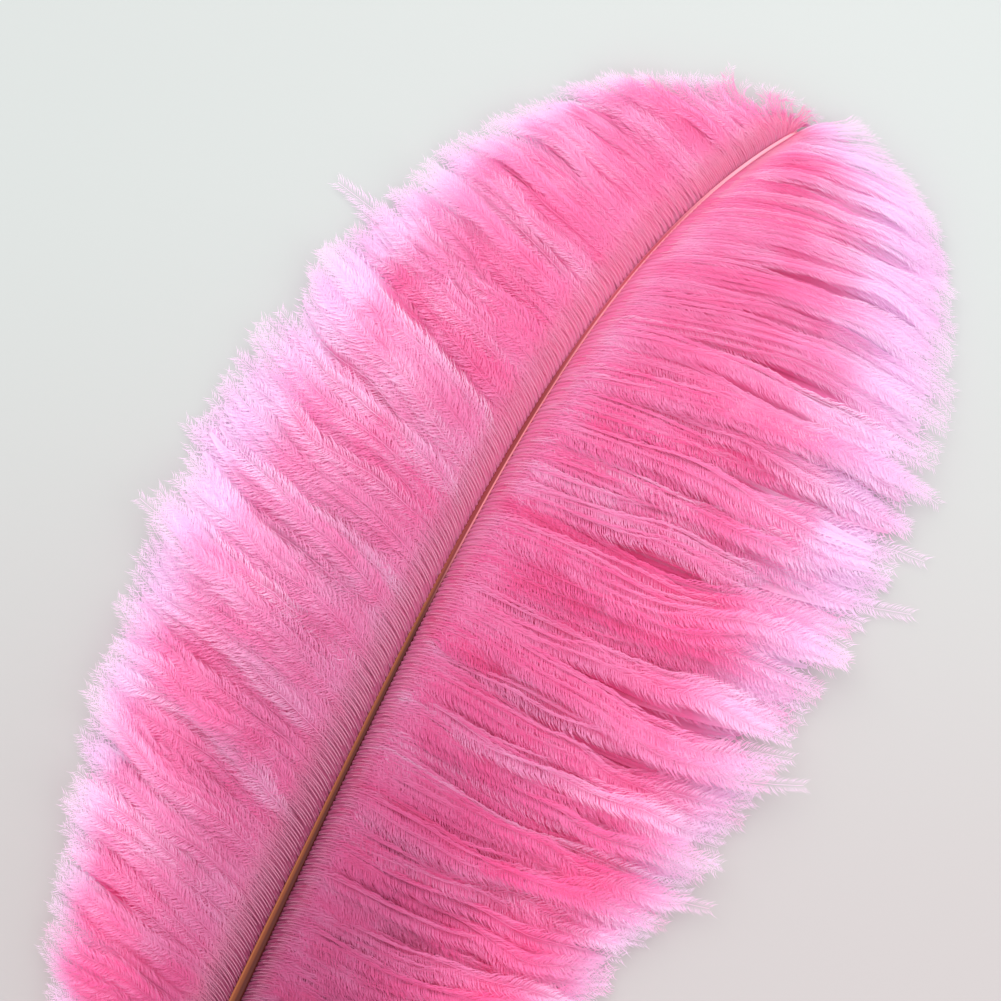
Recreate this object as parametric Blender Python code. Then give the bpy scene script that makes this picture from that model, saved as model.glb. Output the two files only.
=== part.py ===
"""A large dyed ostrich wing plume lying flat on a surface.

The quill points to -Y and the tip to +Y. +Z is up, and the surface is z = 0.
The origin is the middle of the plume's bounding box, at its lowest level.
"""

import math

import bmesh
import bpy
from mathutils import Vector

# Driving dimensions, in metres and degrees.
SHAFT_LENGTH = 0.475  # along the curve, from the quill's end to the shaft's end
TIP_OVERHANG = 0.015  # how far the vanes reach past the shaft's end
VANE_START = 0.048  # bare quill before the first barbs
BEND_DEG = 36.0  # the shaft's whole turn towards +X
BEND_POWER = 6.5  # high, so nearly all of the turn is close to the tip
GAP = 0.0003  # between the shaft and each vane

# The shaft's radius at places along it.
SHAFT_RADII = (
    (0.0, 0.0010),
    (0.012, 0.0021),
    (0.045, 0.0025),
    (0.110, 0.0021),
    (0.180, 0.0016),
    (0.230, 0.0011),
    (0.300, 0.0007),
    (0.380, 0.0005),
    (0.475, 0.0003),
)
SHAFT_LIFT = 0.0052  # how far the barbs hold the shaft's underside off the surface
LIFT_FROM = 0.060
LIFT_TO = 0.200

# Each vane's outer edge on the plan, from the quill to the tip. X is across the
# quill's axis and Y is from the quill's end.
LEFT_EDGE = (
    (-0.002, 0.048),
    (-0.017, 0.064),
    (-0.032, 0.095),
    (-0.047, 0.148),
    (-0.064, 0.197),
    (-0.075, 0.245),
    (-0.080, 0.300),
    (-0.078, 0.345),
    (-0.066, 0.388),
    (-0.044, 0.431),
    (-0.020, 0.457),
    (0.008, 0.472),
    (0.030, 0.478),
)
RIGHT_EDGE = (
    (0.002, 0.048),
    (0.021, 0.063),
    (0.042, 0.092),
    (0.061, 0.134),
    (0.078, 0.177),
    (0.093, 0.222),
    (0.106, 0.272),
    (0.113, 0.325),
    (0.115, 0.375),
    (0.107, 0.416),
    (0.092, 0.449),
    (0.070, 0.469),
)
ROOT_HEIGHT = 0.0045  # a vane's height beside the shaft
EDGE_HEIGHT = 0.0015  # and at its outer edge
CROWN_HEIGHT = 0.0120  # what the loft adds half way out
FIRST_ROW = 0.012  # a vane starts and stops this share of its length short of its two points
LAST_ROW = 0.985

# Mesh divisions.
PATH_STEPS = 600
SHAFT_RINGS = 72
SHAFT_SIDES = 12
VANE_ROWS = 60
VANE_COLUMNS = 10


def walk_midline():
    """Points and directions along the shaft's line on the plan, from the quill's end to the vanes' tip."""
    total = SHAFT_LENGTH + TIP_OVERHANG
    step = total / PATH_STEPS
    place = Vector((0.0, 0.0, 0.0))
    line = []
    for i in range(PATH_STEPS + 1):
        share = min(i * step / SHAFT_LENGTH, 1.0)
        turn = math.radians(BEND_DEG) * share**BEND_POWER
        heading = Vector((math.sin(turn), math.cos(turn), 0.0))
        line.append((place.copy(), heading))
        place += heading * step
    return line


MIDLINE = walk_midline()


def on_midline(distance):
    """The point and direction at a distance along the midline."""
    place = distance / (SHAFT_LENGTH + TIP_OVERHANG) * PATH_STEPS
    i = min(int(place), PATH_STEPS - 1)
    point, heading = MIDLINE[i]
    return point.lerp(MIDLINE[i + 1][0], place - i), heading


def between(table, at):
    """A value read from (place, value) pairs, on a straight line between neighbours."""
    for (a, low), (b, high) in zip(table, table[1:]):
        if at <= b:
            share = max(at - a, 0.0) / (b - a)
            return low + (high - low) * share
    return table[-1][1]


def eased(share):
    """0 to 1 with a level start and end."""
    share = min(max(share, 0.0), 1.0)
    return share * share * (3.0 - 2.0 * share)


def smooth_line(corners, steps_each=24):
    """A Catmull-Rom curve through the corners, as a list of points."""
    knots = [Vector((x, y, 0.0)) for x, y in corners]
    knots = [2 * knots[0] - knots[1]] + knots + [2 * knots[-1] - knots[-2]]
    line = []
    for before, start, end, after in zip(knots, knots[1:], knots[2:], knots[3:]):
        for i in range(steps_each):
            t = i / steps_each
            pull = end - before
            bend = 2 * before - 5 * start + 4 * end - after
            twist = 3 * start - before - 3 * end + after
            line.append(0.5 * (2 * start + pull * t + bend * t**2 + twist * t**3))
    line.append(knots[-2])
    return line


def along(line, share):
    """The point at a share of the line's length."""
    lengths = [0.0]
    for a, b in zip(line, line[1:]):
        lengths.append(lengths[-1] + (b - a).length)
    want = share * lengths[-1]
    for i in range(len(line) - 1):
        if lengths[i + 1] >= want:
            part = (want - lengths[i]) / (lengths[i + 1] - lengths[i])
            return line[i].lerp(line[i + 1], part)
    return line[-1].copy()


def shaft_centre(distance):
    """The middle of the shaft at a distance from the quill's end."""
    point, _ = on_midline(distance)
    lift = SHAFT_LIFT * eased((distance - LIFT_FROM) / (LIFT_TO - LIFT_FROM))
    point.z = between(SHAFT_RADII, distance) + lift
    return point


def material(name, colour, roughness):
    made = bpy.data.materials.new(name)
    made.use_nodes = True
    shader = made.node_tree.nodes["Principled BSDF"]
    shader.inputs["Base Color"].default_value = (*colour, 1.0)
    shader.inputs["Roughness"].default_value = roughness
    shader.inputs["Metallic"].default_value = 0.0
    return made


def add_object(name, bm, finish, holder):
    """One closed mesh, facing out, as a named object under the plume's empty."""
    bmesh.ops.recalc_face_normals(bm, faces=bm.faces)
    mesh = bpy.data.meshes.new(name)
    bm.to_mesh(mesh)
    bm.free()
    mesh.materials.append(finish)
    mesh.shade_smooth()
    mesh.set_sharp_from_angle(angle=math.radians(50))
    made = bpy.data.objects.new(name, mesh)
    bpy.context.scene.collection.objects.link(made)
    made.parent = holder
    return made


def make_shaft(finish, holder):
    """The quill and the rachis: one tapered round rod that follows the midline."""
    bm = bmesh.new()
    rings = []
    for i in range(SHAFT_RINGS + 1):
        distance = SHAFT_LENGTH * i / SHAFT_RINGS
        centre = shaft_centre(distance)
        _, heading = on_midline(distance)
        side = Vector((heading.y, -heading.x, 0.0))
        up = Vector((0.0, 0.0, 1.0))
        radius = between(SHAFT_RADII, distance)
        ring = []
        for k in range(SHAFT_SIDES):
            angle = math.tau * k / SHAFT_SIDES
            ring.append(bm.verts.new(centre + radius * (side * math.cos(angle) + up * math.sin(angle))))
        rings.append(ring)
    for lower, upper in zip(rings, rings[1:]):
        for k in range(SHAFT_SIDES):
            n = (k + 1) % SHAFT_SIDES
            bm.faces.new((lower[k], lower[n], upper[n], upper[k]))
    bm.faces.new(rings[0])
    bm.faces.new(rings[-1])
    return add_object("shaft", bm, finish, holder)


def vane_height(share_along, share_out):
    """The top of a vane's loft over the surface."""
    envelope = math.sin(math.pi * (0.06 + 0.88 * share_along)) ** 0.6
    plain = ROOT_HEIGHT * (1.0 - share_out) + EDGE_HEIGHT * share_out
    return plain + CROWN_HEIGHT * envelope * math.sin(math.pi * share_out) ** 0.9


def make_vane(name, edge, side_sign, finish, holder):
    """All the barbs on one side as one soft solid with a flat underside."""
    total = SHAFT_LENGTH + TIP_OVERHANG
    tip = MIDLINE[-1][0]
    outline = smooth_line(edge + ((tip.x, tip.y),))
    bm = bmesh.new()
    tops, bottoms = [], []
    for i in range(VANE_ROWS + 1):
        share = FIRST_ROW + (LAST_ROW - FIRST_ROW) * i / VANE_ROWS
        distance = VANE_START + share * (total - VANE_START)
        middle, heading = on_midline(distance)
        side = Vector((heading.y, -heading.x, 0.0)) * side_sign
        clear = between(SHAFT_RADII, min(distance, SHAFT_LENGTH)) + GAP
        root = middle + side * clear
        outer = along(outline, share)
        top, bottom = [], []
        for j in range(VANE_COLUMNS + 1):
            out = j / VANE_COLUMNS
            place = root.lerp(outer, out)
            bottom.append(bm.verts.new(place))
            top.append(bm.verts.new(place + Vector((0.0, 0.0, vane_height(share, out)))))
        tops.append(top)
        bottoms.append(bottom)
    for i in range(VANE_ROWS):
        for j in range(VANE_COLUMNS):
            for sheet in (tops, bottoms):
                bm.faces.new((sheet[i][j], sheet[i + 1][j], sheet[i + 1][j + 1], sheet[i][j + 1]))
        for j in (0, VANE_COLUMNS):
            bm.faces.new((bottoms[i][j], bottoms[i + 1][j], tops[i + 1][j], tops[i][j]))
    for i in (0, VANE_ROWS):
        for j in range(VANE_COLUMNS):
            bm.faces.new((bottoms[i][j], tops[i][j], tops[i][j + 1], bottoms[i][j + 1]))
    return add_object(name, bm, finish, holder)


def centre_on_box(holder, pieces):
    """Moves the empty so that the box round the pieces is centred on the origin, resting at z = 0."""
    points = [corner.co for piece in pieces for corner in piece.data.vertices]
    middle_x = (min(p.x for p in points) + max(p.x for p in points)) / 2
    middle_y = (min(p.y for p in points) + max(p.y for p in points)) / 2
    lowest = min(p.z for p in points)
    holder.location = (-middle_x, -middle_y, -lowest)


def build():
    for old in list(bpy.data.objects):
        bpy.data.objects.remove(old)
    holder = bpy.data.objects.new("plume", None)
    bpy.context.scene.collection.objects.link(holder)
    horn = material("amber_horn", (0.38, 0.11, 0.05), 0.4)
    down_left = material("pink_down_left", (0.88, 0.16, 0.42), 0.8)
    down_right = material("pink_down_right", (0.90, 0.18, 0.45), 0.8)
    pieces = [
        make_shaft(horn, holder),
        make_vane("left_vane", LEFT_EDGE, -1.0, down_left, holder),
        make_vane("right_vane", RIGHT_EDGE, 1.0, down_right, holder),
    ]
    centre_on_box(holder, pieces)
    bpy.context.view_layer.update()


build()
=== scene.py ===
import math

import bpy
import numpy as np
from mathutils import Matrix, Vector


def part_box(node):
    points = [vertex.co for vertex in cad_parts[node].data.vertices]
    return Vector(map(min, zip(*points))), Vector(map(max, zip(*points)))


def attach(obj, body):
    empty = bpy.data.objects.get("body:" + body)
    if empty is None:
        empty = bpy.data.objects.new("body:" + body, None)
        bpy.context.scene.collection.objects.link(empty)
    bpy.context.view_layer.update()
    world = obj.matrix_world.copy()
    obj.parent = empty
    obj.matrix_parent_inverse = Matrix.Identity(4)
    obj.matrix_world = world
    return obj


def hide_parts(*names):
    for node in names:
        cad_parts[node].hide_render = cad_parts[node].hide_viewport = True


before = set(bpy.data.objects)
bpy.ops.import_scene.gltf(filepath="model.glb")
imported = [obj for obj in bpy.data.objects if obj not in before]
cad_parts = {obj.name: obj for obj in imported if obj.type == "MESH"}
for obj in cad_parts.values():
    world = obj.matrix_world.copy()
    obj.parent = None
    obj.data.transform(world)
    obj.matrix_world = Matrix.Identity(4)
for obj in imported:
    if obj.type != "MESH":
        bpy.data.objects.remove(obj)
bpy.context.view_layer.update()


class Link:
    # one output socket, so that sums in a node tree read as plain expressions
    def __init__(self, graph, socket):
        self.graph = graph
        self.socket = socket

    def __add__(self, other):
        return self.graph.maths("ADD", self, other)

    def __radd__(self, other):
        return self.graph.maths("ADD", other, self)

    def __sub__(self, other):
        return self.graph.maths("SUBTRACT", self, other)

    def __rsub__(self, other):
        return self.graph.maths("SUBTRACT", other, self)

    def __mul__(self, other):
        return self.graph.maths("MULTIPLY", self, other)

    def __rmul__(self, other):
        return self.graph.maths("MULTIPLY", other, self)

    def __truediv__(self, other):
        return self.graph.maths("DIVIDE", self, other)

    def __pow__(self, other):
        return self.graph.maths("POWER", self, other)

    def sibling(self, name):
        return Link(self.graph, self.socket.node.outputs[name])


def isVector(value):
    if isinstance(value, Link):
        return value.socket.type in ("VECTOR", "RGBA")
    return isinstance(value, (tuple, list))


class Graph:
    # builds nodes in one tree, left to right
    def __init__(self, tree):
        self.tree = tree

    def node(self, kind, settings=None, values=None, out=0):
        made = self.tree.nodes.new(kind)
        made.location = (180 * (len(self.tree.nodes) % 40), -220 * (len(self.tree.nodes) // 40))
        for name, value in (settings or {}).items():
            if name == "stops":
                ramp = made.color_ramp
                while len(ramp.elements) < len(value):
                    ramp.elements.new(0.5)
                for element, (place, colour) in zip(ramp.elements, value):
                    element.position = place
                    element.color = (*colour, 1.0)
            else:
                setattr(made, name, value)
        for name, value in (values or {}).items():
            self.feed(self.inputOf(made, name), value)
        return Link(self, made.outputs[out] if isinstance(out, int) else self.outputOf(made, out))

    def inputOf(self, made, name):
        if isinstance(name, int):
            return made.inputs[name]
        return next(s for s in made.inputs if s.name == name and s.enabled)

    def outputOf(self, made, name):
        return next(s for s in made.outputs if s.name == name and s.enabled)

    def feed(self, socket, value):
        if isinstance(value, Link):
            self.tree.links.new(value.socket, socket)
        elif isinstance(value, list):
            for item in value:
                self.tree.links.new(item.socket, socket)
        else:
            socket.default_value = value

    def maths(self, operation, a, b=None, c=None):
        given = [v for v in (a, b, c) if v is not None]
        if not any(isVector(v) for v in given):
            values = dict(enumerate(given))
            return self.node("ShaderNodeMath", {"operation": operation}, values)
        if operation == "MULTIPLY" and not all(isVector(v) for v in given):
            vector, number = (a, b) if isVector(a) else (b, a)
            return self.node("ShaderNodeVectorMath", {"operation": "SCALE"}, {0: vector, "Scale": number})
        settings = {"operation": operation}
        flat = {"DOT_PRODUCT": "Value", "LENGTH": "Value", "DISTANCE": "Value"}
        return self.node("ShaderNodeVectorMath", settings, dict(enumerate(given)), flat.get(operation, "Vector"))

    def eased(self, value, low, high, start=0.0, end=1.0):
        settings = {"interpolation_type": "SMOOTHSTEP"}
        return self.node(
            "ShaderNodeMapRange",
            settings,
            {"Value": value, "From Min": low, "From Max": high, "To Min": start, "To Max": end},
        )


# ---- the plume's plan, in metres from the quill's end, the same as the CAD's
plan = {
    "shaftLength": 0.475,
    "tipOverhang": 0.015,
    "vaneStart": 0.048,
    "bendDegrees": 36.0,
    "bendPower": 6.5,
    "widestRadius": 0.0025,
    "shaftLift": 0.0052,
    "liftFrom": 0.060,
    "liftTo": 0.200,
    "radii": ((0.0, 0.0010), (0.012, 0.0021), (0.045, 0.0025), (0.110, 0.0021), (0.180, 0.0016),
              (0.230, 0.0011), (0.300, 0.0007), (0.380, 0.0005), (0.475, 0.0003)),
}  # fmt: skip

shaftLow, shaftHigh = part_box("shaft")
quillEnd = np.array([shaftLow.x + plan["widestRadius"], shaftLow.y])

wholeLine = plan["shaftLength"] + plan["tipOverhang"]
lineAt = np.linspace(0.0, wholeLine, 1400)
lineTurn = math.radians(plan["bendDegrees"]) * np.minimum(lineAt / plan["shaftLength"], 1.0) ** plan["bendPower"]
lineStep = np.diff(lineAt)
lineX = quillEnd[0] + np.concatenate([[0.0], np.cumsum(np.sin(lineTurn[:-1]) * lineStep)])
lineY = quillEnd[1] + np.concatenate([[0.0], np.cumsum(np.cos(lineTurn[:-1]) * lineStep)])


def onLine(distance):
    # place on the shaft's line and its heading from +Y towards +X
    place = np.stack([np.interp(distance, lineAt, lineX), np.interp(distance, lineAt, lineY)], -1)
    return place, np.interp(distance, lineAt, lineTurn)


def shaftRadius(distance):
    places, radii = zip(*plan["radii"])
    return np.interp(distance, places, radii)


def seenRadius(distance):
    # the shaft with its soft flanks, wider than the horn alone towards the tip
    return shaftRadius(distance) * np.interp(distance, (0.25, 0.33, 0.475), (1.0, 1.45, 1.7))


def easedArray(value):
    value = np.clip(value, 0.0, 1.0)
    return value * value * (3.0 - 2.0 * value)


def shaftHeight(distance):
    lift = easedArray((distance - plan["liftFrom"]) / (plan["liftTo"] - plan["liftFrom"]))
    return shaftRadius(distance) + plan["shaftLift"] * lift


def smoothLine(corners, stepsEach=24):
    # a Catmull-Rom curve through the corners
    knots = np.array(corners, float)
    knots = np.vstack([2 * knots[0] - knots[1], knots, 2 * knots[-1] - knots[-2]])
    t = np.linspace(0.0, 1.0, stepsEach, endpoint=False)[:, None]
    line = []
    for before, start, end, after in zip(knots, knots[1:], knots[2:], knots[3:]):
        pull = end - before
        bend = 2 * before - 5 * start + 4 * end - after
        twist = 3 * start - before - 3 * end + after
        line.append(0.5 * (2 * start + pull * t + bend * t**2 + twist * t**3))
    return np.vstack(line + [knots[-2:-1]])


def along(line, share):
    lengths = np.concatenate([[0.0], np.cumsum(np.linalg.norm(np.diff(line, axis=0), axis=1))])
    want = share * lengths[-1]
    return np.stack([np.interp(want, lengths, line[:, k]) for k in range(line.shape[1])], -1)


def headingVector(degrees):
    turn = np.radians(degrees)
    return np.stack([np.sin(turn), np.cos(turn)], -1)


def towards(first, second, share):
    return first + (second - first) * share


# ---- barbs: what a user would change about each vane
leftVane = {
    "side": -1,
    "seed": 11,
    "edge": ((-0.002, 0.048), (-0.017, 0.064), (-0.032, 0.095), (-0.047, 0.148), (-0.064, 0.197),
             (-0.075, 0.245), (-0.080, 0.300), (-0.078, 0.345), (-0.066, 0.388), (-0.044, 0.431),
             (-0.020, 0.457), (0.008, 0.472), (0.028, 0.477), (0.040, 0.4765), (0.048, 0.4715)),
    # share along the shaft: share along the vane's edge where those barbs end
    "fan": ((0.0, 0.03), (0.10, 0.12), (0.20, 0.21), (0.32, 0.32), (0.40, 0.40), (0.53, 0.515), (0.63, 0.605),
            (0.68, 0.66), (0.78, 0.725), (0.865, 0.78), (0.925, 0.835), (0.96, 0.88), (0.985, 0.93),
            (0.995, 0.97), (1.0, 0.99)),
    # headings from +Y, in degrees, as barbs leave the shaft and as they end
    "leave": ((0.0, -60.0), (0.4, -70.0), (0.6, -62.0), (0.67, -58.0), (0.78, -70.0), (0.87, -78.0),
              (0.93, -72.0), (0.96, -62.0), (0.985, -40.0), (1.0, 5.0)),
    "arrive": ((0.0, -80.0), (0.35, -76.0), (0.55, -66.0), (0.67, -52.0), (0.78, -74.0), (0.87, -94.0),
               (0.93, -98.0), (0.96, -80.0), (0.985, -5.0), (1.0, 80.0)),
    "rootReach": 0.75,
    "hook": 0.0030,
    "hookReach": 0.0045,
    # 1 where the down starts at the shaft, 0 where bare ridges show first
    "early": ((0.0, 0.0), (0.45, 0.0), (0.75, 0.35), (1.0, 0.6)),
    "silk": 0.5,
    "tone": ((0.0, -0.6), (0.35, 0.8), (0.55, 2.6), (0.7, 2.4), (0.8, 1.9), (0.97, 2.2), (1.0, -0.3)),
    # lit: painted shade, the barbs darker near the lower shaft; paleReach: how far in from the barb ends the painted
    # light reaches
    "lit": ((0.0, 0.78), (0.45, 0.84), (0.8, 0.98), (1.0, 1.0)),
    "paleReach": ((0.0, 0.013), (0.35, 0.016), (0.6, 0.030), (0.8, 0.020), (0.9, 0.013), (0.96, 0.007), (1.0, 0.004)),
    "hang": (0.0, -0.12, -0.08),
    "strays": ((0.76, 1.17), (0.57, 1.05), (0.52, 1.07), (0.987, 1.20)),
}  # fmt: skip
rightVane = {
    "side": 1,
    "seed": 23,
    "edge": ((0.002, 0.048), (0.021, 0.063), (0.042, 0.092), (0.061, 0.134), (0.078, 0.177),
             (0.093, 0.222), (0.107, 0.272), (0.115, 0.325), (0.118, 0.375), (0.111, 0.418),
             (0.096, 0.451), (0.072, 0.471), (0.048, 0.4805)),
    "fan": ((0.0, 0.05), (0.06, 0.12), (0.15, 0.21), (0.28, 0.31), (0.41, 0.415), (0.485, 0.475), (0.56, 0.54),
            (0.655, 0.635), (0.70, 0.675), (0.755, 0.72), (0.825, 0.785), (0.885, 0.845), (0.955, 0.898),
            (0.98, 0.935), (0.993, 0.975), (1.0, 0.99)),
    "leave": ((0.0, 85.0), (0.4, 94.0), (0.6, 92.0), (0.75, 84.0), (0.82, 76.0), (0.89, 68.0), (0.95, 62.0),
              (1.0, 50.0)),
    "arrive": ((0.0, 75.0), (0.4, 76.0), (0.6, 78.0), (0.75, 86.0), (0.82, 97.0), (0.95, 97.0), (1.0, 75.0)),
    "rootReach": 0.95,
    "hook": 0.0042,
    "hookReach": 0.0038,
    "early": ((0.0, 1.0), (1.0, 1.0)),
    "silk": 1.0,
    "tone": ((0.0, -1.0), (0.37, -1.9), (0.6, -0.5), (0.78, 0.9), (0.9, 2.2), (0.985, 2.8), (1.0, -0.6)),
    # lit: painted shade, the barbs darker near the lower shaft; paleReach: how far in from the barb ends the painted
    # light reaches
    "lit": ((0.0, 0.65), (0.35, 0.67), (0.6, 0.90), (1.0, 1.0)),
    "paleReach": ((0.0, 0.022), (0.45, 0.026), (0.7, 0.052), (0.95, 0.058), (1.0, 0.030)),
    "hang": (0.32, -0.68, -0.06),
    "strays": ((0.715, 1.09), (0.75, 1.06), (0.80, 1.05), (0.60, 1.05), (0.50, 1.06)),
}  # fmt: skip
barbShape = {
    "points": 26,
    "crowding": 1.5,  # points stand closer together near the shaft
    "lengthSpread": 0.050,
    "longest": 1.03,
    "tipCrowd": (0.88, 0.93),  # this share of the barbs stands on that share of the shaft
    "trim": 0.975,
    "lockPull": 0.09,
    "tuftPull": 0.45,
    "lockWander": 0.0018,
    "tuftWander": 0.0025,
    "barbWander": 0.0014,
    "arch": 0.0085,
    "lockLift": 0.0032,
    "tuftLift": 0.0036,
    "endHeight": (0.0020, 0.0060),
    "floor": 0.0006,
    "ceiling": 0.0200,
    "fullLength": 0.085,  # barbs this long or longer carry full-size down
}
topLayer = {
    "barbs": 450,
    "shift": 0,
    "lockBarbs": (9, 22),  # barbs in a lock
    "tuftBarbs": (2, 6),  # and in a tuft inside it
    "reach": 1.0,
    "fall": 0.0,
    "sunk": 0.0,
    "wander": 1.0,
    "under": 0.0,
    "cross": 1.0,  # how much barbs cross their neighbours
    "tipFill": 0.3,  # bigger down than the barbs' length asks for, near the tip
    "strays": True,
    "tone": 0.0,
}
underLayer = {
    "barbs": 290,
    "shift": 50,
    "lockBarbs": (4, 9),
    "tuftBarbs": (1, 3),
    "reach": 0.95,
    "fall": 0.55,
    "sunk": 0.0006,
    "wander": 0.12,
    "under": 1.0,
    "cross": 0.25,
    "tipFill": 0.0,
    "strays": False,
    # painted shade: the lower layer is coloured a deeper pink
    "tone": -1.3,
}


def groupsOf(count, size, rng):
    # group numbers for neighbouring barbs, with a random number of barbs in each group
    group = np.zeros(count, int)
    start, number = 0, 0
    while start < count:
        end = start + int(rng.integers(size[0], size[1] + 1))
        group[start:end] = number
        start, number = end, number + 1
    return group


def waves(count, t, rng, slow=0.7, fast=2.2):
    # one smooth random wave per row, zero at t = 0 and about 1 high
    phase = rng.uniform(0, math.tau, (count, 3, 1))
    pace = rng.uniform(slow, fast, (count, 3, 1))
    weight = rng.normal(0, 1, (count, 3, 1)) * np.array([1.0, 0.6, 0.35])[None, :, None]
    wave = np.sin(phase + math.tau * pace * np.array([0.5, 1.0, 1.8])[None, :, None] * t[None, None, :])
    flat = (weight * (wave - np.sin(phase))).sum(1)
    return flat * t[None, :] ** 0.6 / 1.3


def sideways(lines):
    # unit vectors on the plan, square to each line
    step = np.gradient(lines[..., :2], axis=1)
    step /= np.linalg.norm(step, axis=-1, keepdims=True) + 1e-9
    return np.stack([step[..., 1], -step[..., 0]], -1)


def groupMean(lines, group):
    total = np.zeros((group.max() + 1, *lines.shape[1:]))
    np.add.at(total, group, lines)
    return (total / np.bincount(group)[:, None, None])[group]


def vaneBarbs(vane, layer):
    rng = np.random.default_rng(vane["seed"] + layer["shift"])
    count, shape = layer["barbs"], barbShape
    t = np.linspace(0.0, 1.0, shape["points"]) ** shape["crowding"]
    share = (np.arange(count) + rng.uniform(-0.15, 0.15, count)) / (count - 1)
    crowd, place = shape["tipCrowd"]
    share = np.interp(np.clip(share, 0.0, 1.0), (0.0, crowd, 1.0), (0.0, place, 1.0))
    distance = towards(plan["vaneStart"], plan["shaftLength"] - 0.001, share)
    root, heading = onLine(distance)
    out = np.stack([np.cos(heading), -np.sin(heading)], -1) * vane["side"]
    ahead = np.stack([np.sin(heading), np.cos(heading)], -1)
    root = root + out * (seenRadius(distance) * vane["rootReach"])[:, None]

    edge = smoothLine([np.array(corner) + quillEnd for corner in vane["edge"]])
    end = along(edge, np.interp(share, *zip(*vane["fan"])))
    lock = groupsOf(count, layer["lockBarbs"], rng)
    tuft = groupsOf(count, layer["tuftBarbs"], rng)
    spread = shape["lengthSpread"] * (1.0 - 0.7 * easedArray((share - 0.86) / 0.08))
    reach = shape["trim"] + spread * (
        0.08 * rng.normal(0, 1, lock.max() + 1)[lock]
        + 0.18 * rng.normal(0, 1, tuft.max() + 1)[tuft]
        + 0.2
        - 2.4 * rng.uniform(0.0, 1.0, count) ** 2.5
    )
    tipTrim = 1.0 - 0.25 * layer["under"] * easedArray((share - 0.93) / 0.04)
    reach = np.clip(reach, 0.6, shape["longest"]) * layer["reach"] * tipTrim
    for place, longer in vane["strays"] if layer["strays"] else ():
        reach[np.argmin(np.abs(share - place))] = longer
    end = root + (end - root) * reach[:, None]

    leave = np.interp(share, *zip(*vane["leave"])) + rng.normal(0, 1.0, count)
    arrive = np.interp(share, *zip(*vane["arrive"]))
    turned = 5 * rng.normal(0, 1, lock.max() + 1)[lock] + 8 * rng.normal(0, 1, count)
    arrive = arrive + turned * layer["cross"]
    chord = np.linalg.norm(end - root, axis=1)[:, None]
    first = root + headingVector(leave) * chord * 0.36
    last = end - headingVector(arrive) * chord * 0.36
    b = t[None, :, None]
    flat = (
        root[:, None] * (1 - b) ** 3
        + 3 * first[:, None] * b * (1 - b) ** 2
        + 3 * last[:, None] * b**2 * (1 - b)
        + end[:, None] * b**3
    )
    # a short hook: barbs leave along the shaft and turn out within a few millimetres
    hook = vane["hook"] * (1.0 - 0.6 * easedArray((share - 0.85) / 0.12))
    bent = hook[:, None] * (0.2 - np.exp(-t[None, :] * chord / vane["hookReach"]))
    flat = flat + ahead[:, None] * bent[..., None]

    # the barbs gather in locks, and the locks wander
    side = sideways(flat)
    outward = easedArray((t - 0.10) / 0.6)
    frayed = outward * (1.0 - 0.8 * easedArray((t - 0.72) / 0.28))
    frayed = frayed * layer["wander"]
    pull = (frayed * shape["lockPull"])[None, :, None]
    flat = towards(flat, groupMean(flat, lock), pull)
    pull = (frayed * shape["tuftPull"])[None, :, None]
    flat = towards(flat, groupMean(flat, tuft), pull)
    drift = (
        shape["lockWander"] * waves(lock.max() + 1, t, rng)[lock]
        + shape["tuftWander"] * waves(tuft.max() + 1, t, rng)[tuft]
        + shape["barbWander"] * waves(count, t, rng, 1.0, 4.0)
    )
    silk = vane["silk"] * easedArray((share - 0.74) / 0.16)
    drift = drift * layer["wander"] * (1.0 - 0.5 * silk)[:, None]
    drift = drift * (outward**0.5 * (1.0 - 0.45 * easedArray((t - 0.72) / 0.28)))[None, :]
    flat = flat + side * (drift * chord / 0.1)[..., None]

    fill = layer["tipFill"] * easedArray((share - 0.9) / 0.08)
    size = np.clip(chord / 0.1, 0.3, 1.1)
    rise = shape["arch"] * size * np.sin(math.pi * t[None, :] ** 0.85) ** 0.9
    lift = (
        shape["lockLift"] * waves(lock.max() + 1, t, rng, 0.6, 1.6)[lock]
        + shape["tuftLift"] * waves(tuft.max() + 1, t, rng, 1.0, 2.6)[tuft]
    )
    endHeight = rng.uniform(*shape["endHeight"], count)[:, None]
    bright = (1.0 - layer["under"]) * (rng.uniform(0.0, 1.0, count) > 0.91)
    height = towards(shaftHeight(distance)[:, None], endHeight, easedArray(t)[None, :]) - 0.0003
    height = height + 0.0009 * bright[:, None] * outward
    height = height + rise + lift * size * (1.0 - layer["fall"])
    height = height * (1.0 - layer["fall"] * easedArray(t[None, :] * chord / 0.016)) - layer["sunk"]
    height = np.clip(height, shape["floor"] + 0.0012 * outward, shape["ceiling"])
    lines = np.concatenate([flat, height[..., None]], -1)
    return {
        "lines": lines,
        "t": t,
        "share": share,
        "length": np.linalg.norm(np.diff(lines, axis=1), axis=-1).sum(1),
        "tone": layer["tone"]
        + np.interp(share, *zip(*vane["tone"]))
        + 0.35 * rng.normal(0, 1, lock.max() + 1)[lock]
        + 0.75 * rng.normal(0, 1, tuft.max() + 1)[tuft]
        + 0.8 * rng.normal(0, 1, count)
        + 2.0 * bright,
        "silk": silk,
        "size": np.clip(chord[:, 0] / shape["fullLength"] + fill, 0.25, 1.0),
        "lit": np.interp(share, *zip(*vane["lit"])),
        "paleReach": np.interp(share, *zip(*vane["paleReach"])),
        "early": np.interp(share, *zip(*vane["early"])),
        "upward": share,
        "under": np.full(count, layer["under"]),
    }


perBarbNames = ("tone", "silk", "size", "lit", "paleReach", "early", "under", "upward")


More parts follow.
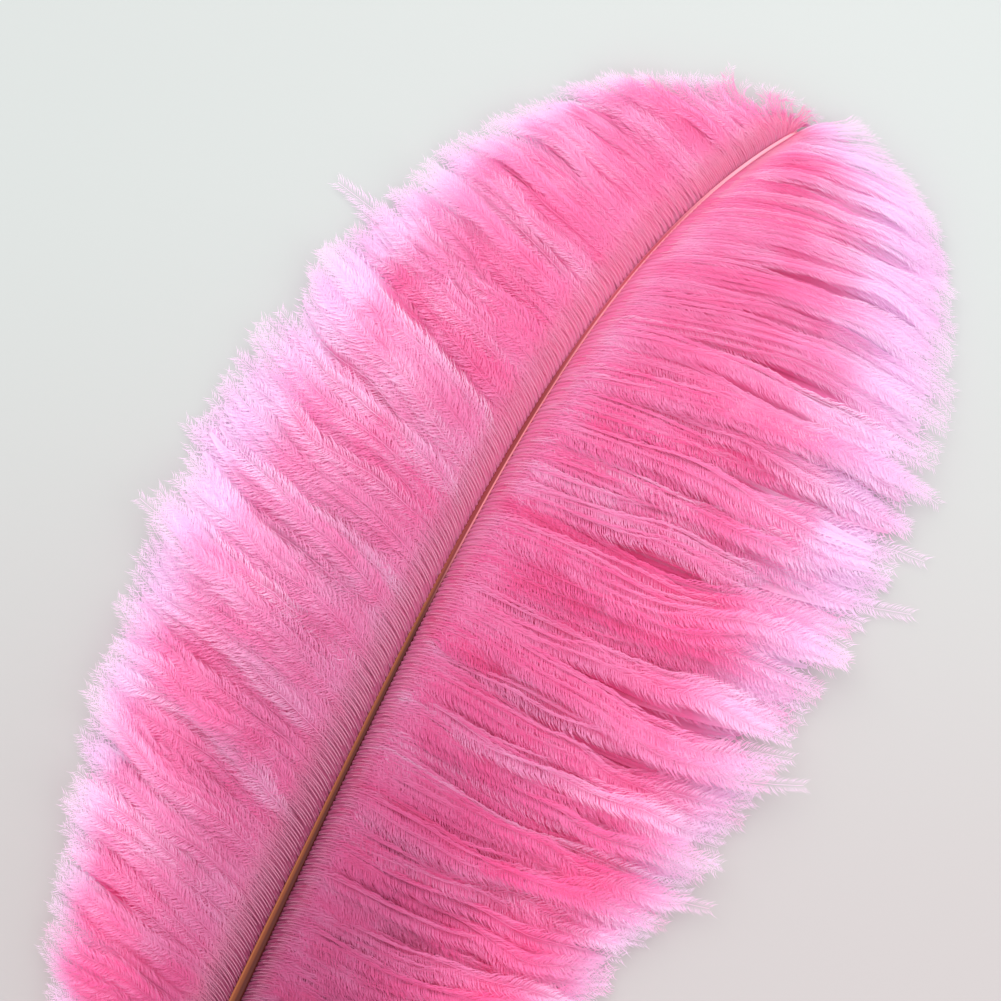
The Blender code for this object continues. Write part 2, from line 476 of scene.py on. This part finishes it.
def guideMesh(name, barbs, chosen):
    # the chosen barbs' middle lines as a mesh of edges, with what the node tree reads
    lines = barbs["lines"][chosen]
    count, points = lines.shape[:2]
    mesh = bpy.data.meshes.new(name)
    mesh.vertices.add(count * points)
    mesh.vertices.foreach_set("co", lines.astype(np.float32).ravel())
    start = (np.arange(count)[:, None] * points + np.arange(points - 1)[None, :]).ravel()
    mesh.edges.add(len(start))
    mesh.edges.foreach_set("vertices", np.stack([start, start + 1], -1).astype(np.int32).ravel())
    perBarb = {name: barbs[name][chosen] for name in perBarbNames}
    perBarb["barbLength"] = barbs["length"][chosen]
    perBarb["row"] = (np.arange(count) + 0.5) / count
    perBarb["rowSize"] = np.full(count, 1.0 / count)
    values = {label: np.repeat(array, points) for label, array in perBarb.items()}
    values["along"] = np.tile(barbs["t"], count)
    for label, array in values.items():
        mesh.attributes.new(label, "FLOAT", "POINT").data.foreach_set("value", array.astype(np.float32))
    mesh.update()
    made = bpy.data.objects.new(name, mesh)
    bpy.context.scene.collection.objects.link(made)
    return made


# ---- the node tree that turns middle lines into barbs with their barbules
fluff = {
    "Barbule Spacing": 0.00052,
    "Barbule Length": 0.0056,
    "Barbule Width": 0.00028,
    "Barbule Bend": 0.13,
    "Barbule Angle": 40.0,
    "Barbule Droop": 0.16,
    "Barb Width": 0.00042,
    "Barb Taper": 0.65,
    "Root Width": 0.35,
    "Taper Power": 0.35,
    "Hang": (0.0, 0.0, -0.10),
    "Seed": 7,
}
underFluff = dict(fluff, **{
    "Barbule Spacing": 0.0022,
    "Barbule Length": 0.0060,
    "Barbule Width": 0.0007,
    "Barb Width": 0.0054,
    "Barb Taper": 0.80,
    "Root Width": 0.60,
    "Taper Power": 6.0,
    "Seed": 19,
})  # fmt: skip


def fluffTree():
    tree = bpy.data.node_groups.new("featherFluff", "GeometryNodeTree")
    tree.interface.new_socket("Geometry", in_out="INPUT", socket_type="NodeSocketGeometry")
    kinds = {"Hang": "NodeSocketVector", "Seed": "NodeSocketInt", "Material": "NodeSocketMaterial"}
    for name in (*fluff, "Material"):
        tree.interface.new_socket(name, in_out="INPUT", socket_type=kinds.get(name, "NodeSocketFloat"))
    tree.interface.new_socket("Geometry", in_out="OUTPUT", socket_type="NodeSocketGeometry")
    g = Graph(tree)
    given = g.node("NodeGroupInput")
    value = {name: given.sibling(name) for name in (*fluff, "Geometry", "Material")}

    def attribute(name):
        return g.node("GeometryNodeInputNamedAttribute", {"data_type": "FLOAT"}, {"Name": name}, "Attribute")

    def randomly(low, high, offset):
        values = {"Min": low, "Max": high, "Seed": value["Seed"] + offset}
        return g.node("FunctionNodeRandomValue", {"data_type": "FLOAT"}, values, "Value")

    def store(geometry, name, field, domain="POINT", kind="FLOAT"):
        settings = {"data_type": kind, "domain": domain}
        return g.node("GeometryNodeStoreNamedAttribute", settings, {"Geometry": geometry, "Name": name, "Value": field})

    along_ = attribute("along")
    curve = g.node("GeometryNodeMeshToCurve", values={"Mesh": value["Geometry"]})
    curve = g.node("GeometryNodeSetCurveNormal", {"mode": "Z_UP"}, {"Curve": curve})

    # the barb's own stem, a ribbon that thins to its end
    size = attribute("size")
    fromRoot = along_ * attribute("barbLength")
    taper = 1.0 - value["Barb Taper"] * along_ ** value["Taper Power"]
    thin = value["Barb Width"] * taper * g.eased(fromRoot, 0.0, 0.004, value["Root Width"], 1.0) * size
    profile = g.node("GeometryNodeCurvePrimitiveBezierSegment", {"mode": "POSITION"}, {
        "Resolution": 2, "Start": (-0.5, -0.2, 0.0), "Start Handle": (-0.2, 0.25, 0.0),
        "End Handle": (0.2, 0.25, 0.0), "End": (0.5, -0.2, 0.0)})  # fmt: skip
    profile = store(profile, "across", g.node("GeometryNodeSplineParameter", out="Factor") * 0.3 - 0.15)
    stem = g.node("GeometryNodeCurveToMesh", values={"Curve": curve, "Profile Curve": profile, "Scale": thin})

    # one barbule: a fine bent blade one unit long, scaled where it stands
    corner = g.node("GeometryNodeInputIndex")
    blade = g.node("GeometryNodeMeshCircle", {"fill_type": "NGON"}, {"Vertices": 4})
    leftCorner = g.maths("COMPARE", corner, 1.0, 0.1)
    rightCorner = g.maths("COMPARE", corner, 3.0, 0.1)
    middle = leftCorner + rightCorner
    width = value["Barbule Width"] / value["Barbule Length"]
    spot = g.node("ShaderNodeCombineXYZ", values={
        "X": corner * 0.5 - rightCorner * 1.04,
        "Y": middle * value["Barbule Bend"] + (rightCorner - leftCorner) * width * 0.5,
        "Z": middle * 0.07})  # fmt: skip
    blade = g.node("GeometryNodeSetPosition", values={"Geometry": blade, "Position": spot})
    place = g.node("GeometryNodeInputPosition")
    parts = g.node("ShaderNodeSeparateXYZ", values={"Vector": place}, out="X")
    blade = store(blade, "end", parts)
    blade = store(blade, "edge", rightCorner - leftCorner)

    points = g.node("GeometryNodeCurveToPoints", {"mode": "LENGTH"},
                    {"Curve": curve, "Length": value["Barbule Spacing"]}, "Points")  # fmt: skip
    tangent, normal = points.sibling("Tangent"), points.sibling("Normal")
    up = g.maths("CROSS_PRODUCT", normal, tangent)
    upSign = g.maths("SIGN", g.node("ShaderNodeSeparateXYZ", values={"Vector": up}, out="Z"))
    up = g.maths("NORMALIZE", up * upSign)
    early = attribute("early")
    grown = g.eased(fromRoot / size, 0.003 - 0.002 * early, 0.016 - 0.009 * early, 0.10, 1.0)
    grown = grown * g.eased(along_, 0.80, 1.0, 1.0, 0.6)
    grown = grown * (0.4 + 0.6 * size) * (1.0 - 0.3 * attribute("silk"))
    silk = attribute("silk") * g.eased(along_, 0.95, 0.60)
    sheets = []
    for number, sideSign in enumerate((1.0, -1.0)):
        turn = g.maths("RADIANS", value["Barbule Angle"] * randomly(0.80, 1.20, 10 + number))
        turn = turn * g.eased(fromRoot, 0.0, 0.012, 0.45, 1.0) * (1.0 - 0.55 * silk)
        ahead = tangent * g.maths("COSINE", turn)
        beside = normal * (g.maths("SINE", turn) * sideSign)
        fall = up * (value["Barbule Droop"] * randomly(-1.4, 0.4, 20 + number))
        hang = value["Hang"] * (g.eased(fromRoot, 0.0, 0.012) * g.eased(along_, 0.85, 0.40) * (1.0 - 0.7 * silk))
        towardsEnd = g.maths("NORMALIZE", ahead + beside + fall + hang)
        lean = up + normal * randomly(-0.28, 0.28, 30 + number)
        turned = g.node("FunctionNodeAxesToRotation", {"primary_axis": "X", "secondary_axis": "Z"},
                        {"Primary Axis": towardsEnd, "Secondary Axis": lean})  # fmt: skip
        long = value["Barbule Length"] * grown * randomly(0.75, 1.15, 40 + number)
        scale = g.node("ShaderNodeCombineXYZ", values={"X": long, "Y": long * upSign * -sideSign, "Z": long})
        placed = store(points, "beside", sideSign)
        sheets.append(g.node("GeometryNodeInstanceOnPoints", values={
            "Points": placed, "Instance": blade, "Rotation": turned, "Scale": scale}))  # fmt: skip
    blades = g.node("GeometryNodeJoinGeometry", values={"Geometry": sheets})
    blades = g.node("GeometryNodeRealizeInstances", values={"Geometry": blades})
    blades = store(blades, "across", attribute("end") * attribute("beside") * 0.85)
    blades = store(blades, "along", along_ + attribute("edge") * 0.002 + attribute("end") * 0.004)

    whole = g.node("GeometryNodeJoinGeometry", values={"Geometry": [stem, blades]})
    row = attribute("row") + attribute("across") * attribute("rowSize") * 0.5
    chart = g.node("ShaderNodeCombineXYZ", values={"X": attribute("along") * 0.98 + 0.01, "Y": row, "Z": 0.0})
    whole = store(whole, "OFBake", chart, "CORNER", "FLOAT2")
    height = g.maths("MAXIMUM", g.node("ShaderNodeSeparateXYZ", values={"Vector": place}, out="Z"), 0.0004)
    flatPlace = g.node("ShaderNodeSeparateXYZ", values={"Vector": place}, out="X")
    raised = g.node("ShaderNodeCombineXYZ", values={"X": flatPlace, "Y": flatPlace.sibling("Y"), "Z": height})
    whole = g.node("GeometryNodeSetPosition", values={"Geometry": whole, "Position": raised})
    whole = g.node("GeometryNodeRealizeInstances", values={"Geometry": whole})
    whole = g.node("GeometryNodeSetMaterial", values={"Geometry": whole, "Material": value["Material"]})
    output = tree.nodes.new("NodeGroupOutput")
    tree.links.new(whole.socket, output.inputs[0])
    return tree


def asMesh(made, name):
    # the evaluated result as a plain mesh object, with nothing live on it
    graph = bpy.context.evaluated_depsgraph_get()
    graph.update()
    mesh = bpy.data.meshes.new_from_object(made.evaluated_get(graph), preserve_all_data_layers=True, depsgraph=graph)
    old = made.data
    bpy.data.objects.remove(made)
    if isinstance(old, bpy.types.Mesh):
        bpy.data.meshes.remove(old)
    mesh.name = name
    done = bpy.data.objects.new(name, mesh)
    bpy.context.scene.collection.objects.link(done)
    return done


def runTree(made, tree, settings):
    modifier = made.modifiers.new("grow", "NODES")
    modifier.node_group = tree
    for item in tree.interface.items_tree:
        if item.in_out == "INPUT" and item.name in settings:
            modifier[item.identifier] = settings[item.name]


# ---- barbs dyed deep pink, paler lilac where they thin out towards their ends as painted light, with painted shade in the lower layer and in the gaps at the shaft
dyeAndPaintedLight = {
    "shades": ((0.0, (0.93, 0.065, 0.27)), (0.35, (0.97, 0.17, 0.46)), (0.65, (0.97, 0.36, 0.65)),
               (1.0, (0.99, 0.74, 0.95))),
    "ridge": (0.93, 0.38, 0.56),
    # painted shade: the dark colour between the ridges at the shaft, and a lighter one towards the tip
    "gapShade": (0.50, 0.080, 0.20),
    "tipGapShade": (0.90, 0.25, 0.46),
    "roughness": 0.6,
    "translucent": 0.45,
}  # fmt: skip


def pinkDown():
    made = bpy.data.materials.new("pinkDown")
    made.use_nodes = True
    made.node_tree.nodes.clear()
    g = Graph(made.node_tree)

    def attribute(name):
        return g.node("ShaderNodeAttribute", {"attribute_name": name}, out="Fac")

    t = g.node("ShaderNodeSeparateXYZ", values={"Vector": g.node("ShaderNodeUVMap", {"uv_map": "OFBake"})}, out="X")
    tone, across, fromRoot = attribute("tone"), attribute("across"), t * attribute("barbLength")
    place = g.node("ShaderNodeTexCoord", out="Object")
    patch = g.node("ShaderNodeTexNoise", values={"Vector": place, "Scale": 75.0, "Detail": 2.0}, out="Fac") - 0.5
    toEnd = (1.0 - t) * attribute("barbLength")
    early = attribute("early")
    # painted light: paler further out along each barb, towards the barb ends and at the barbule tips, where thin fibres
    # let light through; patch is the dye's own random variation
    pale = 0.40 + 0.14 * g.eased(t, 0.15, 0.75) + 0.46 * g.eased(toEnd / attribute("paleReach"), 1.0, 0.06)
    pale = pale + 0.07 * tone + 0.32 * patch + 0.08 * g.maths("ABSOLUTE", across)
    pale = pale + 0.10 * early * g.eased(fromRoot, 0.020, 0.004)
    ground = g.node("ShaderNodeValToRGB", {"stops": dyeAndPaintedLight["shades"]}, {"Fac": pale}, "Color")
    # painted shade: the lower layer's roots at the shaft are coloured dark, lighter towards the tip, for the shade
    # between the ridges
    gapShade = g.node("ShaderNodeMix", {"data_type": "RGBA"},
                 {0: g.eased(attribute("upward"), 0.30, 0.85), 6: (*dyeAndPaintedLight["gapShade"], 1), 7: (*dyeAndPaintedLight["tipGapShade"], 1)}, 2)
    root = g.node("ShaderNodeMix", {"data_type": "RGBA"},
                  {0: attribute("under"), 6: (*dyeAndPaintedLight["ridge"], 1), 7: gapShade}, 2)  # fmt: skip
    ground = g.node("ShaderNodeMix", {"data_type": "RGBA"}, 
                    {0: g.eased(fromRoot, 0.003 - 0.002 * early, 0.016 - 0.009 * early), 6: root, 7: ground}, 2)
    # painted shade: darker near the lower shaft, fading out along each barb
    lit = attribute("lit")
    lit = lit + (1.0 - lit) * g.eased(t, 0.20, 0.75)
    ground = ground * lit
    cover = g.node("ShaderNodeBsdfPrincipled", values={"Base Color": ground, "Roughness": dyeAndPaintedLight["roughness"]})
    through = g.node("ShaderNodeBsdfTranslucent", values={"Color": ground})
    both = g.node("ShaderNodeMixShader", values={0: dyeAndPaintedLight["translucent"], 1: cover, 2: through})
    output = made.node_tree.nodes.new("ShaderNodeOutputMaterial")
    made.node_tree.links.new(both.socket, output.inputs["Surface"])
    return made


def grow(name, barbs, chosen, settings):
    guide = guideMesh(f"{name}Guide", barbs, chosen)
    runTree(guide, growTree, settings)
    piece = asMesh(guide, name)
    triangles = sum(len(p.vertices) - 2 for p in piece.data.polygons)
    print(piece.name, triangles, "triangles")
    return piece


downMaterial = pinkDown()
growTree = fluffTree()
downPieces = []
for label, vane in (("left", leftVane), ("right", rightVane)):
    barbs = vaneBarbs(vane, topLayer)
    total = np.cumsum(barbs["length"])
    split = np.searchsorted(total / total[-1], (0.0, 1 / 3, 2 / 3, 1.0))
    split[-1] = len(total)
    for number, part in enumerate(("lower", "middle", "upper")):
        chosen = slice(split[number], split[number + 1])
        settings = dict(fluff, Material=downMaterial, Hang=vane["hang"])
        settings["Seed"] += 100 * number + vane["seed"]
        downPieces.append((grow(f"{label}_barbs_{part}", barbs, chosen, settings), f"{label}_vane"))
    under = vaneBarbs(vane, underLayer)
    settings = dict(underFluff, Material=downMaterial)
    settings["Seed"] += vane["seed"]
    downPieces.append((grow(f"{label}_underdown", under, slice(None), settings), f"{label}_vane"))


# ---- the shaft: a finer tube with a groove along its face
rachis = {
    "rings": 240,
    "sides": 28,
    "groove": 0.20,
    "flatness": 0.86,
    # colours round the shaft, 0 on the right, 0.25 on top and 0.5 on the left, and where each set comes in; in the
    # lowest set the dark right side is painted shade and the light band at 0.40 a painted highlight
    "zones": (
        ((0.0, 0.0), ((0.0, (0.070, 0.007, 0.003)), (0.23, (0.070, 0.007, 0.003)), (0.28, (0.16, 0.032, 0.008)),
                      (0.34, (0.19, 0.042, 0.012)), (0.40, (0.42, 0.14, 0.055)), (0.50, (0.20, 0.050, 0.020)))),
        ((0.62, 0.71), ((0.0, (0.78, 0.25, 0.28)), (0.15, (0.76, 0.24, 0.27)), (0.20, (0.22, 0.018, 0.022)),
                        (0.36, (0.20, 0.016, 0.020)), (0.44, (0.28, 0.040, 0.045)), (0.50, (0.36, 0.07, 0.075)))),
        ((0.77, 0.87), ((0.0, (0.80, 0.26, 0.32)), (0.20, (0.80, 0.26, 0.32)), (0.26, (0.40, 0.045, 0.070)),
                        (0.37, (0.38, 0.040, 0.065)), (0.44, (0.66, 0.17, 0.25)))),
        ((0.89, 0.97), ((0.0, (0.84, 0.32, 0.41)), (1.0, (0.84, 0.32, 0.41)))),
    ),
}


def shaftMesh():
    distance = np.linspace(0.0, plan["shaftLength"], rachis["rings"])
    place, heading = onLine(distance)
    radius = seenRadius(distance) * np.interp(distance, (0.0, 0.002, 0.006), (0.25, 0.8, 1.0))
    angle = np.linspace(0.0, math.tau, rachis["sides"], endpoint=False)
    dent = 1.0 - rachis["groove"] * np.exp(-((angle - math.pi / 2) ** 2) / 0.10)
    grooved = easedArray((distance - 0.055) / 0.03)[:, None]
    ringRadius = radius[:, None] * towards(1.0, dent[None, :], grooved)
    side = np.stack([np.cos(heading), -np.sin(heading)], -1)
    across = ringRadius * np.cos(angle)[None, :]
    rise = ringRadius * np.sin(angle)[None, :] * rachis["flatness"]
    flat = place[:, None] + side[:, None] * across[..., None]
    height = shaftHeight(distance)[:, None] + rise
    spots = np.concatenate([flat, height[..., None]], -1).reshape(-1, 3)
    rings, sides = ringRadius.shape
    faces = []
    for i in range(rings - 1):
        for k in range(sides):
            n = (k + 1) % sides
            faces.append((i * sides + k, i * sides + n, (i + 1) * sides + n, (i + 1) * sides + k))
    faces.append(tuple(reversed(range(sides))))
    faces.append(tuple((rings - 1) * sides + k for k in range(sides)))
    mesh = bpy.data.meshes.new("rachis")
    mesh.from_pydata(spots.tolist(), [], faces)
    chart = mesh.uv_layers.new(name="shaftChart")
    u = np.repeat(distance / plan["shaftLength"], sides)
    v = np.tile(np.arange(sides) / sides, rings)
    for polygon in mesh.polygons[: (rings - 1) * sides]:
        wraps = polygon.index % sides == sides - 1
        for corner, vertex in zip(polygon.loop_indices, polygon.vertices):
            turned = 1.0 if wraps and vertex % sides == 0 else 0.0
            chart.data[corner].uv = (u[vertex], v[vertex] + turned)
    mesh.shade_smooth()
    made = bpy.data.objects.new("rachis", mesh)
    bpy.context.scene.collection.objects.link(made)
    return made


def hornMaterial():
    made = bpy.data.materials.new("amberHorn")
    made.use_nodes = True
    made.node_tree.nodes.clear()
    g = Graph(made.node_tree)
    chart = g.node("ShaderNodeUVMap", {"uv_map": "shaftChart"})
    u = g.node("ShaderNodeSeparateXYZ", values={"Vector": chart}, out="X")
    v = u.sibling("Y")
    horn = g.node("ShaderNodeValToRGB", {"stops": rachis["zones"][0][1]}, {"Fac": v}, "Color")
    for reach, stops in rachis["zones"][1:]:
        zone = g.node("ShaderNodeValToRGB", {"stops": stops}, {"Fac": v}, "Color")
        horn = g.node("ShaderNodeMix", {"data_type": "RGBA"}, {0: g.eased(u, *reach), 6: horn, 7: zone}, 2)
    cover = g.node("ShaderNodeBsdfPrincipled", values={
        "Base Color": horn, "Roughness": 0.48, "Specular IOR Level": 0.3})  # fmt: skip
    output = made.node_tree.nodes.new("ShaderNodeOutputMaterial")
    made.node_tree.links.new(cover.socket, output.inputs["Surface"])
    return made


rachisPiece = shaftMesh()
rachisPiece.data.materials.append(hornMaterial())
print("shaft made")

for piece, node in downPieces:
    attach(piece, "root")
    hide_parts(node)
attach(rachisPiece, "root")
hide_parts("shaft")

# ---- floor, light and camera
stage = {
    "floorSize": 6.0,
    # floorTop and floorFoot: painted light and shade, the floor darker and warmer towards the foot of the view
    "floorTop": (0.482, 0.502, 0.489),
    "floorFoot": (0.448, 0.412, 0.410),
    "sky": (0.98, 0.99, 1.0),
    "skyStrength": 1.15,
    "lens": 85.0,
    "viewWidth": 0.280,  # how much of the floor the picture is wide
    "roll": 25.3,
    "look": (-0.010, 0.0987),
}


def makeStage():
    bpy.ops.mesh.primitive_plane_add(size=stage["floorSize"])
    floor = bpy.context.object
    floor.name = "floor"
    paper = bpy.data.materials.new("palePaper")
    paper.use_nodes = True
    shader = paper.node_tree.nodes["Principled BSDF"]
    g = Graph(paper.node_tree)
    turn = math.radians(stage["roll"])
    upward = g.maths("DOT_PRODUCT", g.node("ShaderNodeTexCoord", out="Object"), (-math.sin(turn), math.cos(turn), 0.0))
    # painted shade: the floor darker and warmer towards the foot of the view
    wash = g.node("ShaderNodeMix", {"data_type": "RGBA"},
                  {0: g.eased(upward, -0.06, 0.20), 6: (*stage["floorFoot"], 1), 7: (*stage["floorTop"], 1)},
                  2)  # fmt: skip
    # painted light: the floor a little lighter towards the right of the view
    rightward = g.maths("DOT_PRODUCT", g.node("ShaderNodeTexCoord", out="Object"), (math.cos(turn), math.sin(turn), 0.0))
    g.feed(shader.inputs["Base Color"], wash * g.eased(rightward, -0.15, 0.15, 0.96, 1.04))
    shader.inputs["Roughness"].default_value = 0.9
    floor.data.materials.append(paper)
    world = bpy.data.worlds.new("room")
    world.use_nodes = True
    world.node_tree.nodes["Background"].inputs["Color"].default_value = (*stage["sky"], 1)
    world.node_tree.nodes["Background"].inputs["Strength"].default_value = stage["skyStrength"]
    bpy.context.scene.world = world
    for name, place, size, power, colour in (
        ("windowLight", (-0.9, 0.9, 1.5), 1.6, 20.0, (1.0, 0.99, 0.98)),
        ("fillLight", (1.2, 0.2, 1.2), 1.2, 5.0, (0.98, 0.98, 1.0)),
    ):
        lamp = bpy.data.lights.new(name, "AREA")
        lamp.size = size
        lamp.energy = power
        lamp.color = colour
        made = bpy.data.objects.new(name, lamp)
        made.location = place
        aim = -made.location
        made.rotation_euler = aim.to_track_quat("-Z", "Y").to_euler()
        bpy.context.scene.collection.objects.link(made)
    camera = bpy.data.cameras.new("camera")
    camera.lens = stage["lens"]
    camera.sensor_width = 36.0
    holder = bpy.data.objects.new("camera", camera)
    far = stage["viewWidth"] * stage["lens"] / camera.sensor_width
    holder.location = (*stage["look"], far + 0.012)
    holder.rotation_euler = (0.0, 0.0, math.radians(stage["roll"]))
    bpy.context.scene.collection.objects.link(holder)
    bpy.context.scene.camera = holder
    bpy.context.scene.view_settings.view_transform = "Standard"


makeStage()
